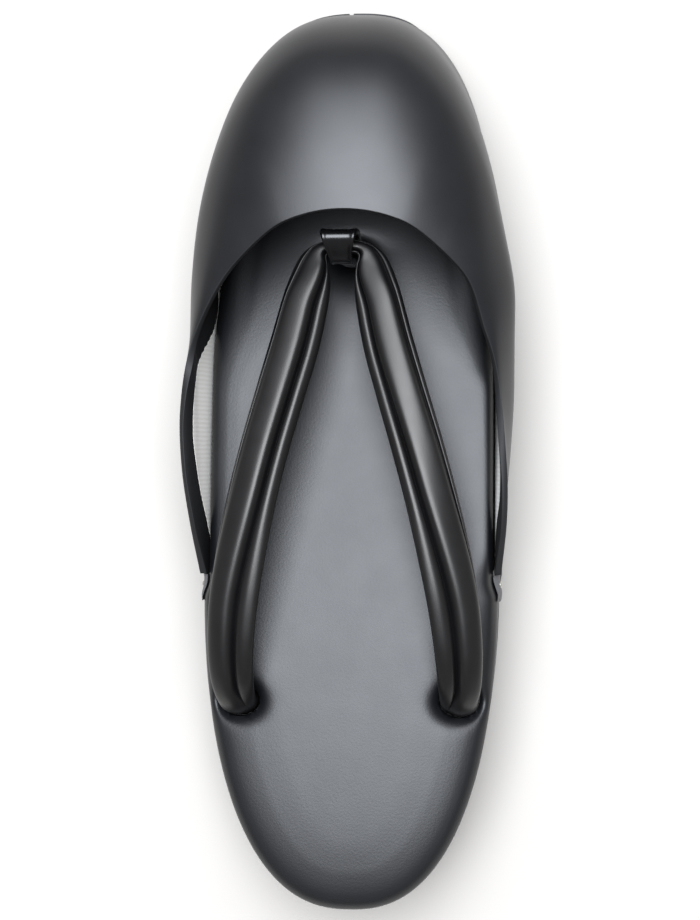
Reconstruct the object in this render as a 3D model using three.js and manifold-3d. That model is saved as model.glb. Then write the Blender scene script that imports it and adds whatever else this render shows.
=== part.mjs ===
// Rain zori: a black wedge sandal with a V strap and a smooth hood over the toes.
// Millimetres. +Y points to the toe, +X to the right, +Z up, the floor is z = 0.
import * as THREE from 'three';
import { mergeVertices } from 'three/addons/utils/BufferGeometryUtils.js';
import Module from 'manifold-3d';

const wasm = await Module();
wasm.setup();

// Driving dimensions: the sole in plan.
const HEEL_Y = -125.3;
const SOLE_TOE_Y = 122.3;
const BROADEST_Y = -33;
const HEEL_HALF = 40.5;
const FOREFOOT_HALF = 39.1;
const SHOULDER_REAR_Y = -41;
const SHOULDER_FRONT_Y = -35.6;

// Heights of the wedge and its toe spring.
const HEEL_HEIGHT = 44.5;
const FORE_HEIGHT = 22.5;
const RAMP_REAR_Y = -110;
const RAMP_FRONT_Y = 150;
const TOE_LIFT = 2.2;
const TOE_SPRING = 7;
const SPRING_Y = 60;
const HEEL_BEVEL = 1.2;

// Layers of the sole, and the play between pieces.
const SEAT = 0.3;
const OUTSOLE_THICK = 4;
const FOOTBED_THICK = 7;
const TOE_LEAN = 6.4;
const LEAN_REAR_Y = 22;
const LEAN_FRONT_Y = 104;

// Toe cover and the lip that carries it.
const WALL = 1.8;
const LIP_MARGIN = 0.6;
const LIP_REAR_Y = 98;
const LIP_FRONT_Y = 118;
const NOTCH_X = -1.6;
const TAIL_Y = -34;
const COVER_ROUND = 3;
const COVER_SWEEP = 1.42;
const SWELL_FULL = 0.85;
const SWELL_EASE = { from: 0.76, to: 1.12, share: 1.15 };
const COVER_ROWS = 15;

// The soft right wing of the cover: how far its edge leans in, how much of that bulges out
// below the edge and from which share of its height, and where the lean fades in and out.
const WING_FLEX = 3.6;
const WING_BULGE = 0.8;
const WING_LOW = 0.1;
const WING_REAR = { from: -24, full: 14 };
const WING_FRONT = { from: 48, full: 30 };

// Strap holes, toe loop, strap and tail tabs.
const REAR_HOLE = { x: 30, y: -68, across: 5.7, along: 4.9, depth: 12 };
const FRONT_HOLE = { x: 0, y: 54.4, across: 5.1, along: 3.5, depth: 10 };
const LOOP_WIDTH = 7.6;
const LOOP_TAPER = 0.16;
const LOOP_BAND = 1.5;
const LOOP_EYE = 5.8;
const LOOP_SLOPE = 0.5;
const STRAP_THICK = 8;
const STRAP_LEAN = -1;
const TAB_HEIGHT = 14;

const clamp01 = (t) => Math.min(1, Math.max(0, t));
const mix = (a, b, t) => a + (b - a) * t;
const smooth = (from, to, value) => {
  const t = clamp01((value - from) / (to - from));
  return t * t * (3 - 2 * t);
};

// One column of a table as a smooth curve over its key column, level at its start if asked.
function column(rows, key, name, levelStart = false) {
  return (at) => {
    const last = rows.length - 1;
    let i = 0;
    while (i < last - 1 && at > rows[i + 1][key]) i += 1;
    const slope = (k) => {
      if (k === 0 && levelStart) return 0;
      const a = rows[Math.max(0, k - 1)];
      const b = rows[Math.min(last, k + 1)];
      return (b[name] - a[name]) / (b[key] - a[key]);
    };
    const span = rows[i + 1][key] - rows[i][key];
    const t = clamp01((at - rows[i][key]) / span);
    const t2 = t * t;
    const t3 = t2 * t;
    return (2 * t3 - 3 * t2 + 1) * rows[i][name] + (t3 - 2 * t2 + t) * span * slope(i)
      + (3 * t2 - 2 * t3) * rows[i + 1][name] + (t3 - t2) * span * slope(i + 1);
  };
}

function geometryOf(points, triangles) {
  const geometry = new THREE.BufferGeometry();
  geometry.setAttribute('position', new THREE.Float32BufferAttribute(points.flat(), 3));
  geometry.setIndex(triangles.flat());
  return geometry;
}

// Closed rings of equal length, joined in order and closed by a cap at each end.
function loft(rings, capStart, capEnd) {
  const size = rings[0].length;
  const triangles = [];
  for (let r = 0; r + 1 < rings.length; r += 1) {
    for (let i = 0; i < size; i += 1) {
      const a = r * size + i;
      const b = r * size + ((i + 1) % size);
      triangles.push([a, b, b + size], [a, b + size, a + size]);
    }
  }
  const top = (rings.length - 1) * size;
  capStart(size).forEach(([a, b, c]) => triangles.push([a, c, b]));
  capEnd(size).forEach(([a, b, c]) => triangles.push([top + a, top + b, top + c]));
  return geometryOf(rings.flat(), triangles);
}

// Rungs across a mirrored ring that starts at the heel and passes the toe half way round.
function ladder(size) {
  const triangles = [];
  for (let i = 0; i < size / 2; i += 1) {
    const left = size - i;
    if (i > 0) triangles.push([i, i + 1, left % size]);
    if (i + 1 < size / 2) triangles.push([i + 1, left - 1, left % size]);
  }
  return triangles;
}

// A fan over a small convex ring.
function fan(size) {
  return Array.from({ length: size - 2 }, (_, i) => [0, i + 1, i + 2]);
}

function toManifold(geometry) {
  const bare = geometry.clone();
  bare.deleteAttribute('normal');
  bare.deleteAttribute('uv');
  const merged = mergeVertices(bare, 1e-4);
  return new wasm.Manifold(new wasm.Mesh({
    numProp: 3,
    vertProperties: new Float32Array(merged.attributes.position.array),
    triVerts: new Uint32Array(merged.index.array),
  }));
}

function fromManifold(solid) {
  const mesh = solid.getMesh();
  const geometry = new THREE.BufferGeometry();
  geometry.setAttribute('position', new THREE.BufferAttribute(mesh.vertProperties.slice(), 3));
  geometry.setIndex(new THREE.BufferAttribute(mesh.triVerts.slice(), 1));
  return geometry;
}

const cut = (geometry, cutters) => fromManifold(
  cutters.reduce((solid, cutter) => solid.subtract(toManifold(cutter)), toManifold(geometry)),
);

// Half width of the sole: rounded heel, long nearly parallel sides, rounded toe.
function soleHalf(y) {
  const rear = y < BROADEST_Y;
  const reach = rear ? BROADEST_Y - HEEL_Y : SOLE_TOE_Y - BROADEST_Y;
  const along = Math.min(1, Math.abs(y - BROADEST_Y) / reach);
  const round = rear
    ? (1 - along ** 2.3) ** (1 / 2.4)
    : (1 - along ** 4.8) ** (1 / 2.55);
  return round * mix(HEEL_HALF, FOREFOOT_HALF, smooth(SHOULDER_REAR_Y, SHOULDER_FRONT_Y, y));
}

// Points of the right side between two stations, evenly spaced along the edge.
function soleRun(fromY, toY, count) {
  const fine = Array.from({ length: 401 }, (_, i) => {
    const y = mix(fromY, toY, (1 - Math.cos((Math.PI * i) / 400)) / 2);
    return new THREE.Vector2(soleHalf(y), y);
  });
  const run = [0];
  for (let i = 1; i < fine.length; i += 1) run.push(run[i - 1] + fine[i].distanceTo(fine[i - 1]));
  return Array.from({ length: count }, (_, k) => {
    const goal = (run[400] * k) / count;
    let i = 1;
    while (i < 400 && run[i] < goal) i += 1;
    const t = (goal - run[i - 1]) / (run[i] - run[i - 1]);
    return fine[i - 1].clone().lerp(fine[i], clamp01(t));
  });
}

const SIDE = [
  ...soleRun(HEEL_Y, SHOULDER_REAR_Y, 13),
  ...soleRun(SHOULDER_REAR_Y, SHOULDER_FRONT_Y, 3),
  ...soleRun(SHOULDER_FRONT_Y, SOLE_TOE_Y, 23),
  new THREE.Vector2(0, SOLE_TOE_Y),
];

// The side moved outward by a margin that may change along the shoe.
function offsetSide(margin) {
  return SIDE.map((point, i) => {
    const a = SIDE[Math.max(0, i - 1)];
    const b = SIDE[Math.min(SIDE.length - 1, i + 1)];
    const out = new THREE.Vector2(b.y - a.y, a.x - b.x).normalize();
    if (i === 0) out.set(0, -1);
    if (i === SIDE.length - 1) out.set(0, 1);
    return point.clone().addScaledVector(out, margin(point.y));
  });
}

// A closed ring round the sole at a height that follows the given profile.
function soleRing(margin, height) {
  const right = offsetSide(margin);
  const left = right.slice(1, -1).reverse().map((p) => new THREE.Vector2(-p.x, p.y));
  return [...right, ...left].map((p) => [p.x, p.y, height(p.y)]);
}

const topHeight = (y) => mix(HEEL_HEIGHT, FORE_HEIGHT, smooth(RAMP_REAR_Y, RAMP_FRONT_Y, y))
  + TOE_LIFT * clamp01((y - SPRING_Y) / (SOLE_TOE_Y - SPRING_Y)) ** 2;
const floorHeight = (y) => TOE_SPRING * clamp01((y - SPRING_Y) / (SOLE_TOE_Y - SPRING_Y)) ** 2
  + HEEL_BEVEL * clamp01((HEEL_Y + 16 - y) / 16) ** 2;

// The lip of the outsole stands out where it carries the cover.
const coverMargin = SEAT + WALL;
const lipMargin = (y) => coverMargin * smooth(SHOULDER_REAR_Y, SHOULDER_FRONT_Y, y)
  + LIP_MARGIN * smooth(LIP_REAR_Y, LIP_FRONT_Y, y);

function outsoleGeometry() {
  const lip = (inset) => (y) => lipMargin(y) - inset;
  const rise = (dz) => (y) => floorHeight(y) + dz;
  const body = loft([
    soleRing(lip(1.6), rise(0)),
    soleRing(lip(0.4), rise(0.5)),
    soleRing(lip(0), rise(1.6)),
    soleRing(lip(0), rise(OUTSOLE_THICK)),
  ], ladder, ladder);
  const toe = SOLE_TOE_Y + coverMargin + LIP_MARGIN;
  const notch = new THREE.ExtrudeGeometry(
    new THREE.Shape([
      new THREE.Vector2(NOTCH_X, toe - 1.5),
      new THREE.Vector2(NOTCH_X + 1.2, toe + 1),
      new THREE.Vector2(NOTCH_X - 1.2, toe + 1),
    ]),
    { depth: 20, bevelEnabled: false },
  );
  return cut(body, [notch]);
}

// The front of the sole leans back under the cover, more towards the top.
const lean = (y) => TOE_LEAN * smooth(LEAN_REAR_Y, LEAN_FRONT_Y, y);

function platformGeometry() {
  const flare = (inset, share) => (y) => -inset - share * lean(y);
  const body = loft([
    soleRing(flare(0.9, 0), (y) => floorHeight(y) + OUTSOLE_THICK + SEAT),
    soleRing(flare(0.1, 0), (y) => floorHeight(y) + OUTSOLE_THICK + SEAT + 0.8),
    soleRing(flare(0, 0.4), (y) => mix(floorHeight(y) + OUTSOLE_THICK, topHeight(y), 0.4)),
    soleRing(flare(0.4, 0.7), (y) => topHeight(y) - FOOTBED_THICK - SEAT - 0.7),
    soleRing(flare(1.2, 0.7), (y) => topHeight(y) - FOOTBED_THICK - SEAT),
  ], ladder, ladder);
  return cut(body, holeCutters());
}

// The padded top sheet: its crown falls off to the edge, in a narrower band beside the arch.
const CROWN = [
  { inset: 0.1, drop: 5.5 },
  { inset: 0.6, drop: 4.3 },
  { inset: 2.1, drop: 2.7 },
  { inset: 4.1, drop: 1.75 },
  { inset: 6.6, drop: 1.1 },
  { inset: 9.8, drop: 0.6 },
  { inset: 14, drop: 0.25 },
];
const crownWidth = (y) => 1 - 0.4 * smooth(30, 5, y) * smooth(-75, -35, y);

function footbedGeometry() {
  const level = (drop) => (y) => topHeight(y) - drop;
  const under = soleRing((y) => -1.2 - lean(y), level(FOOTBED_THICK));
  const edge = soleRing((y) => -0.3 - lean(y), level(FOOTBED_THICK - 0.9));
  const crown = CROWN.map(({ inset, drop }) => soleRing(
    (y) => -inset * (inset > 1 ? crownWidth(y) : 1) - lean(y),
    level(drop),
  ));
  return cut(loft([under, edge, ...crown], ladder, ladder), holeCutters());
}

// Strap holes with a pulled-in mouth, from the footbed down into the platform.
function holeCutters() {
  const sides = [
    { ...REAR_HOLE },
    { ...REAR_HOLE, x: -REAR_HOLE.x },
    { ...FRONT_HOLE },
  ];
  return sides.map(({ x, y, across, along, depth }) => {
    const mouth = [
      [0, -depth], [1, -depth], [1, -3.4], [1.16, -1.6], [1.5, -0.4], [1.9, 0.25], [1.9, 5], [0, 5],
    ];
    const cutter = new THREE.LatheGeometry(mouth.map(([r, h]) => new THREE.Vector2(r, h)), 20);
    cutter.rotateX(Math.PI / 2);
    cutter.scale(across, along, 1);
    cutter.translate(x, y, topHeight(y));
    return cutter;
  });
}

// Opening edge of the cover from the middle of the throat back to the tail, one side.
const THROAT = [
  { run: 0, x: 0, y: 63, z: 62 },
  { run: 0.14, x: 15.2, y: 59.9, z: 60.6 },
  { run: 0.25, x: 25.2, y: 52.8, z: 57.2 },
  { run: 0.36, x: 33.8, y: 43.2, z: 53.2 },
  { run: 0.5, x: 41.6, y: 27.5, z: 50.2 },
  { run: 0.64, x: 44.6, y: 11.5, z: 49.2 },
  { run: 0.78, x: 44.5, y: -4.5, z: 47.8 },
  { run: 0.9, x: 42.9, y: -20, z: 44 },
  { run: 1, x: 41.3, y: TAIL_Y, z: 36.5 },
];

// How far the wall swells out, the share of its height from which it does, and how far it
// leans back at half height.
const SWELL = [
  { run: 0, out: 0.3, low: 0.2, back: 3.4 },
  { run: 0.13, out: 1.4, low: 0.2, back: 2.7 },
  { run: 0.26, out: 2.9, low: 0.2, back: 1.2 },
  { run: 0.4, out: 3.9, low: 0.2, back: 0.3 },
  { run: 0.52, out: 3.3, low: 0.28, back: 0 },
  { run: 0.64, out: 1.6, low: 0.45, back: 0 },
  { run: 0.76, out: 0.8, low: 0.55, back: 0 },
  { run: 0.88, out: 0.5, low: 0.55, back: 0 },
  { run: 1, out: 0.1, low: 0.55, back: 0 },
];

const throatAt = ['x', 'y', 'z'].map((name) => column(THROAT, 'run', name, name !== 'x'));
const [outAt, lowAt, backAt] = ['out', 'low', 'back'].map((name) => column(SWELL, 'run', name, true));

// Base of the cover on the lip: run 0 is the toe, 1 the tail, on the right side.
const BASE = offsetSide(() => coverMargin).filter((p) => p.y > TAIL_Y);
const baseRun = (() => {
  const points = [...BASE].reverse();
  const before = offsetSide(() => coverMargin).filter((p) => p.y <= TAIL_Y).pop();
  const last = points[points.length - 1];
  const t = (TAIL_Y - last.y) / (before.y - last.y);
  points.push(last.clone().lerp(before, t).setY(TAIL_Y));
  const run = [0];
  for (let i = 1; i < points.length; i += 1) run.push(run[i - 1] + points[i].distanceTo(points[i - 1]));
  return { points, run, total: run[run.length - 1] };
})();

function baseAt(s) {
  const { points, run, total } = baseRun;
  const goal = s * total;
  let i = 1;
  while (i < points.length - 1 && run[i] < goal) i += 1;
  const t = clamp01((goal - run[i - 1]) / (run[i] - run[i - 1]));
  return points[i - 1].clone().lerp(points[i], t);
}

const wingFlex = (y) => WING_FLEX * smooth(WING_FRONT.from, WING_FRONT.full, y)
  * smooth(WING_REAR.from, WING_REAR.full, y);

// A point of the outer face: s from -1 (left tail) over 0 (toe) to 1, v from base to edge.
// The soft wing on the right leans in at its edge and bulges out below it.
function coverPoint(s, v) {
  const run = Math.abs(s);
  const side = s < 0 ? -1 : 1;
  const base = baseAt(run);
  const edgeRun = 0.62 * run + 0.38 * run * run;
  const [throatX, ey, ez] = throatAt.map((f) => f(edgeRun));
  const flex = side > 0 ? wingFlex(ey) : 0;
  const ex = throatX - flex;
  const near = baseAt(Math.max(0, run - 0.02));
  const far = baseAt(Math.min(1, run + 0.02));
  const out = new THREE.Vector2(near.y - far.y, far.x - near.x).normalize();
  if (run < 0.02) out.set(0, 1);
  const arc = v * COVER_SWEEP;
  const over = (1 - Math.cos(arc) ** (2 / COVER_ROUND)) / (1 - Math.cos(COVER_SWEEP) ** (2 / COVER_ROUND));
  const up = (Math.sin(arc) / Math.sin(COVER_SWEEP)) ** (2 / COVER_ROUND);
  const baseZ = floorHeight(Math.min(base.y, SOLE_TOE_Y)) + OUTSOLE_THICK + SEAT;
  const outBy = outAt(run) + WING_BULGE * flex;
  const low = mix(lowAt(run), WING_LOW, flex / WING_FLEX);
  const eased = 1 - SWELL_EASE.share * smooth(SWELL_EASE.from, SWELL_EASE.to, up);
  const swell = outBy * smooth(low, SWELL_FULL, up) * eased
    - backAt(run) * Math.sin(Math.PI * up);
  return new THREE.Vector3(
    side * (mix(base.x, ex, over) + out.x * swell),
    mix(base.y, ey, over) + out.y * swell,
    mix(baseZ, ez, up),
  );
}

function coverNormal(s, v) {
  const step = 0.004;
  const along = coverPoint(Math.min(1, s + step), v).sub(coverPoint(Math.max(-1, s - step), v));
  const rise = coverPoint(s, Math.min(1, v + step)).sub(coverPoint(s, Math.max(0, v - step)));
  return along.cross(rise).normalize();
}

// Columns of the cover stand at the same stations as the sole's edge.
const COVER_RUNS = baseRun.run.map((r) => r / baseRun.total);
const COVER_COLUMNS = 2 * (COVER_RUNS.length - 1);
const columnRun = (i) => {
  const k = i - COVER_COLUMNS / 2;
  return Math.sign(k) * COVER_RUNS[Math.abs(k)];
};

function coverGeometry() {
  const outer = [];
  const inner = [];
  const across = COVER_ROWS + 1;
  for (let i = 0; i <= COVER_COLUMNS; i += 1) {
    const s = columnRun(i);
    for (let j = 0; j <= COVER_ROWS; j += 1) {
      const v = j / COVER_ROWS;
      const point = coverPoint(s, v);
      const normal = coverNormal(s, v);
      if (j === 0) normal.setZ(0).normalize();
      if (i === 0 || i === COVER_COLUMNS) normal.setY(0).normalize();
      outer.push(point.toArray());
      inner.push(point.addScaledVector(normal, WALL).toArray());
    }
  }
  const shift = outer.length;
  const at = (i, j) => i * across + j;
  const triangles = [];
  const quad = (a, b, c, d) => triangles.push([a, b, c], [a, c, d]);
  for (let i = 0; i < COVER_COLUMNS; i += 1) {
    for (let j = 0; j < COVER_ROWS; j += 1) {
      quad(at(i, j), at(i, j + 1), at(i + 1, j + 1), at(i + 1, j));
      quad(shift + at(i, j), shift + at(i + 1, j), shift + at(i + 1, j + 1), shift + at(i, j + 1));
    }
    quad(at(i, 0), at(i + 1, 0), shift + at(i + 1, 0), shift + at(i, 0));
    const top = COVER_ROWS;
    quad(at(i, top), shift + at(i, top), shift + at(i + 1, top), at(i + 1, top));
  }
  for (let j = 0; j < COVER_ROWS; j += 1) {
    const end = COVER_COLUMNS;
    quad(at(0, j), shift + at(0, j), shift + at(0, j + 1), at(0, j + 1));
    quad(at(end, j), at(end, j + 1), shift + at(end, j + 1), shift + at(end, j));
  }
  return geometryOf([...outer, ...inner], triangles);
}

// Centre line of one leg from the middle of the front to the rear hole.
// wide and thick are full sizes, roll turns the top face outward.
const LEG = [
  { at: 0, x: 0, y: 54.6, z: 45, wide: 4, thick: 6, roll: 0 },
  { at: 1, x: 4.8, y: 54, z: 45, wide: 4.2, thick: 6, roll: 0 },
  { at: 2, x: 7.6, y: 50.2, z: 46, wide: 8.4, thick: 6.8, roll: 2 },
  { at: 3, x: 9.8, y: 42.3, z: 48.6, wide: 12, thick: 7.6, roll: 4 },
  { at: 4, x: 13.2, y: 28.5, z: 52, wide: 13.6, thick: STRAP_THICK, roll: 6 },
  { at: 5, x: 16.7, y: 15, z: 54.8, wide: 13.7, thick: STRAP_THICK, roll: 9 },
  { at: 6, x: 20.3, y: 1, z: 56.9, wide: 13.8, thick: STRAP_THICK, roll: 13 },
  { at: 7, x: 23.8, y: -13, z: 58, wide: 14.1, thick: STRAP_THICK, roll: 17 },
  { at: 8, x: 26.8, y: -27, z: 57.7, wide: 14.6, thick: STRAP_THICK, roll: 22 },
  { at: 9, x: 29, y: -40, z: 56.4, wide: 14.4, thick: STRAP_THICK, roll: 25 },
  { at: 10, x: 30.2, y: -52, z: 53.8, wide: 13.6, thick: 7.9, roll: 25 },
  { at: 11, x: 30.5, y: -61.2, z: 49.8, wide: 12.2, thick: 7.6, roll: 20 },
  { at: 12, x: 30.2, y: -67.4, z: 43.4, wide: 10.4, thick: 7.2, roll: 12 },
  { at: 13, x: 30, y: -68.8, z: 35, wide: 9.6, thick: 6.8, roll: 6 },
];

// The strap's section from the inner side over the top: inner roll, seam groove, flat panel,
// seam groove, lower outer roll, underside. Shares of half the width and half the thickness.
const STRAP_SECTION = [
  { across: -1, up: -0.1 },
  { across: -0.96, up: 0.24 },
  { across: -0.81, up: 0.5 },
  { across: -0.6, up: 0.52 },
  { across: -0.46, up: 0.18 },
  { across: -0.36, up: 0.74 },
  { across: -0.22, up: 0.95 },
  { across: 0.02, up: 1 },
  { across: 0.3, up: 0.95 },
  { across: 0.58, up: 0.83 },
  { across: 0.72, up: 0.62 },
  { across: 0.79, up: 0.14 },
  { across: 0.9, up: 0.26 },
  { across: 1, up: -0.06 },
  { across: 0.94, up: -0.4 },
  { across: 0.5, up: -0.88 },
  { across: 0, up: -1 },
  { across: -0.5, up: -0.88 },
  { across: -0.86, up: -0.52 },
];

const LEG_STEPS = 30;

// The strap leans to one side at the front, and stands true in its rear holes.
const strapLean = (y) => STRAP_LEAN * smooth(REAR_HOLE.y, 40, y);

function strapRing(side, at) {
  const read = (name) => column(LEG, 'at', name)(at);
  const place = new THREE.Vector3(read('x'), read('y'), read('z'));
  const ahead = Math.min(13, at + 0.05);
  const behind = Math.max(0, at - 0.05);
  const go = new THREE.Vector3(
    ...['x', 'y', 'z'].map((n) => column(LEG, 'at', n)(ahead) - column(LEG, 'at', n)(behind)),
  );
  if (at === 0) go.set(1, 0, 0);
  go.normalize();
  const outward = new THREE.Vector3(-go.y, go.x, 0).normalize();
  const up = new THREE.Vector3().crossVectors(outward, go).negate();
  const roll = THREE.MathUtils.degToRad(read('roll'));
  const across = outward.clone().multiplyScalar(Math.cos(roll)).addScaledVector(up, -Math.sin(roll));
  const rise = up.clone().multiplyScalar(Math.cos(roll)).addScaledVector(outward, Math.sin(roll));
  const ring = STRAP_SECTION.map((corner) => {
    const p = place.clone()
      .addScaledVector(across, (corner.across * read('wide')) / 2)
      .addScaledVector(rise, (corner.up * read('thick')) / 2);
    return [side * p.x + strapLean(place.y), p.y, p.z];
  });
  return ring.reverse();
}

function strapGeometry() {
  const steps = Array.from({ length: LEG_STEPS + 1 }, (_, i) => 13 * (i / LEG_STEPS) ** 0.94);
  const right = steps.map((at) => strapRing(1, at));
  const left = steps.slice(1).reverse().map((at) => strapRing(-1, at));
  return loft([...left, ...right], fan, fan);
}

// The loop stands on edge: a band bent over the strap, its ends pressed together below.
function loopGeometry() {
  const apex = LEG[0];
  const innerHalf = LOOP_EYE / 2;
  const innerTop = apex.z + apex.thick / 2 + 4 * SEAT;
  const innerFoot = apex.z - apex.thick / 2 - SEAT;
  const stemHalf = LOOP_BAND + 0.05;
  const stemFoot = topHeight(apex.y) - FRONT_HOLE.depth + 2;
  const outerHalf = innerHalf + LOOP_BAND;
  const outline = new THREE.Shape();
  outline.moveTo(-stemHalf, stemFoot);
  outline.lineTo(stemHalf, stemFoot);
  outline.lineTo(stemHalf, innerFoot - 7);
  outline.quadraticCurveTo(outerHalf, innerFoot - 4, outerHalf, innerFoot);
  outline.lineTo(outerHalf, innerTop - innerHalf);
  outline.quadraticCurveTo(outerHalf, innerTop + LOOP_BAND, 0, innerTop + LOOP_BAND);
  outline.quadraticCurveTo(-outerHalf, innerTop + LOOP_BAND, -outerHalf, innerTop - innerHalf);
  outline.lineTo(-outerHalf, innerFoot);
  outline.quadraticCurveTo(-outerHalf, innerFoot - 4, -stemHalf, innerFoot - 7);
  outline.closePath();
  const eye = new THREE.Path();
  eye.moveTo(0, innerFoot - 3.4);
  eye.quadraticCurveTo(-innerHalf, innerFoot - 2, -innerHalf, innerFoot);
  eye.lineTo(-innerHalf, innerTop);
  eye.lineTo(innerHalf, innerTop);
  eye.lineTo(innerHalf, innerFoot);
  eye.quadraticCurveTo(innerHalf, innerFoot - 2, 0, innerFoot - 3.4);
  outline.holes.push(eye);
  const band = new THREE.ExtrudeGeometry(outline, {
    depth: LOOP_WIDTH, bevelEnabled: false, curveSegments: 6,
  });
  band.translate(0, 0, -LOOP_WIDTH / 2);
  band.rotateX(Math.PI / 2);
  band.rotateZ(Math.PI / 2);
  const place = band.attributes.position;
  for (let i = 0; i < place.count; i += 1) {
    const forward = place.getY(i) / outerHalf;
    const arched = clamp01((place.getZ(i) - innerTop + innerHalf) / (innerHalf + LOOP_BAND));
    const risen = clamp01((place.getZ(i) - topHeight(apex.y)) / (innerTop - topHeight(apex.y)));
    const broad = 1 + LOOP_TAPER * forward * smooth(0.2, 1, risen);
    place.setX(i, place.getX(i) * broad + STRAP_LEAN * risen);
    place.setZ(i, place.getZ(i) + LOOP_SLOPE * arched * place.getY(i));
  }
  band.translate(apex.x, apex.y, 0);
  return band;
}

// A thin wedge in the notch between the end of the cover and the shoulder of the sole.
function tabGeometry(side) {
  const rows = [
    { y: TAIL_Y - SEAT, out: 1.6 },
    { y: TAIL_Y - 2.6, out: 1.4 },
    { y: SHOULDER_REAR_Y + 1.4, out: 0.9 },
    { y: SHOULDER_REAR_Y - 0.4, out: 0.5 },
  ];
  const rings = rows.map(({ y, out }) => {
    const inner = soleHalf(y) + SEAT;
    const high = topHeight(y) - 4.4;
    const low = high - TAB_HEIGHT;
    return [[inner, y, low], [inner + out, y, low], [inner + out, y, high - 4], [inner, y, high]];
  });
  const placed = rings.map((ring) => ring.map(([x, y, z]) => [side * x, y, z]));
  const turned = side > 0 ? placed.map((ring) => [...ring].reverse()) : placed;
  return loft(turned.reverse(), fan, fan);
}

const material = (color, roughness) => new THREE.MeshStandardMaterial({ color, roughness, metalness: 0 });

const PIECES = [
  { name: 'outsole', geometry: outsoleGeometry(), material: material(0x17171a, 0.6) },
  { name: 'platform', geometry: platformGeometry(), material: material(0x141416, 0.4) },
  { name: 'footbed', geometry: footbedGeometry(), material: material(0x18191c, 0.45) },
  { name: 'toe_cover', geometry: coverGeometry(), material: material(0x121214, 0.35) },
  { name: 'hanao_strap', geometry: strapGeometry(), material: material(0x101012, 0.3) },
  { name: 'toe_loop', geometry: loopGeometry(), material: material(0x101012, 0.35) },
  { name: 'tail_tab_right', geometry: tabGeometry(1), material: material(0x6a6a6c, 0.6) },
  { name: 'tail_tab_left', geometry: tabGeometry(-1), material: material(0x6a6a6c, 0.6) },
];

const zori = new THREE.Group();
zori.name = 'rain_zori';
PIECES.forEach((piece) => {
  const mesh = new THREE.Mesh(piece.geometry, piece.material);
  mesh.name = piece.name;
  zori.add(mesh);
});

export default zori;
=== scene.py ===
"""Black rain zori with a smooth toe cover: fine pieces, finishes, light and camera."""
import math

import bpy
import numpy as np
from mathutils import Matrix, Vector


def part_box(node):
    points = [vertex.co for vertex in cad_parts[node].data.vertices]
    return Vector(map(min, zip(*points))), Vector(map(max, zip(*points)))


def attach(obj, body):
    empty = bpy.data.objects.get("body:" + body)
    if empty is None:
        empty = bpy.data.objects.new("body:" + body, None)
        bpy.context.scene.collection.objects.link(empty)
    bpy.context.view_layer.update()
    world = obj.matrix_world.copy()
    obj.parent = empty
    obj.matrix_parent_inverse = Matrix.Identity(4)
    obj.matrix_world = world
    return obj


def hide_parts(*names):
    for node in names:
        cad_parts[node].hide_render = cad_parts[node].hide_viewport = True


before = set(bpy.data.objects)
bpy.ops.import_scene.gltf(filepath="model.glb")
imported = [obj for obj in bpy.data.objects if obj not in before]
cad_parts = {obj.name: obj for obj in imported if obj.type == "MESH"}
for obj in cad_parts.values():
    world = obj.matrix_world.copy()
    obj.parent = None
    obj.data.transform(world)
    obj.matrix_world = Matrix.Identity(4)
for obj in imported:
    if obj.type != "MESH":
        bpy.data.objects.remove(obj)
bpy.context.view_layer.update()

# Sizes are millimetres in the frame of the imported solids: +Y to the toe, +Z up.
MM = 0.001
SHARP_DEGREES = 40

# The sole in plan and in height.
HEEL_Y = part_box("outsole")[0].y / MM
SOLE_TOE_Y = 122.3
BROADEST_Y = -33
HEEL_HALF = 40.5
FOREFOOT_HALF = 39.1
HEEL_ROUND = (2.3, 2.4)
TOE_ROUND = (4.8, 2.55)
SIDE_POINTS = 260
SHOULDER_REAR_Y = -41
SHOULDER_FRONT_Y = -35.6
HEEL_HEIGHT = 44.5
FORE_HEIGHT = 22.5
RAMP_REAR_Y = -110
RAMP_FRONT_Y = 150
TOE_LIFT = 2.2
TOE_SPRING = 7
SPRING_Y = 60
HEEL_BEVEL = 1.2
HEEL_BEVEL_RUN = 16
TOE_LEAN = 6.4
LEAN_REAR_Y = 22
LEAN_FRONT_Y = 104

# Layers, walls and the play between pieces.
SEAT = 0.3
OUTSOLE_THICK = 4
FOOTBED_THICK = 7
WALL = 1.8
LINING_THICK = 0.5
COVER_MARGIN = SEAT + WALL

# The lip of the outsole: it tucks in along the toe and comes out again at the tip, with a notch.
LIP_MARGIN = 0.6
LIP_TUCK = -0.8
LIP_TUCK_Y = 60
LIP_REAR_Y = 114
LIP_FRONT_Y = 121.5
NOTCH = {"x": -1.6, "half": 1.2, "deep": 1.5, "past": 1, "low": -1, "high": 20}

# Rings of the outsole from the ground up: how far in from the lip's edge, and how high.
OUTSOLE_RINGS = (
    (1.6, 0), (0.9, 0.12), (0.4, 0.5), (0.1, 1), (0, 1.6), (0, 3.5), (0.15, 3.85), (0.5, 4),
)

# The strap holes: place, half sizes, depth, and how far and wide they pull the footbed down.
REAR_HOLE = {"x": 30, "y": -68.4, "across": 5.6, "along": 4.4, "depth": 12, "pull": 3, "reach": 1.3}
FRONT_HOLE = {"x": 0, "y": 54.4, "across": 5.1, "along": 3.5, "depth": 10, "pull": 1.4, "reach": 1.2}
HOLES = ((REAR_HOLE, 1), (REAR_HOLE, -1), (FRONT_HOLE, 1))
CUT_ABOVE = 5

# Edge rings of the footbed: how far in, and how high above its underside.
FOOTBED_RINGS = ((1.2, 0), (0.6, 0.2), (0.25, 0.7))
RIM_INSET = 0.1

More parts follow.
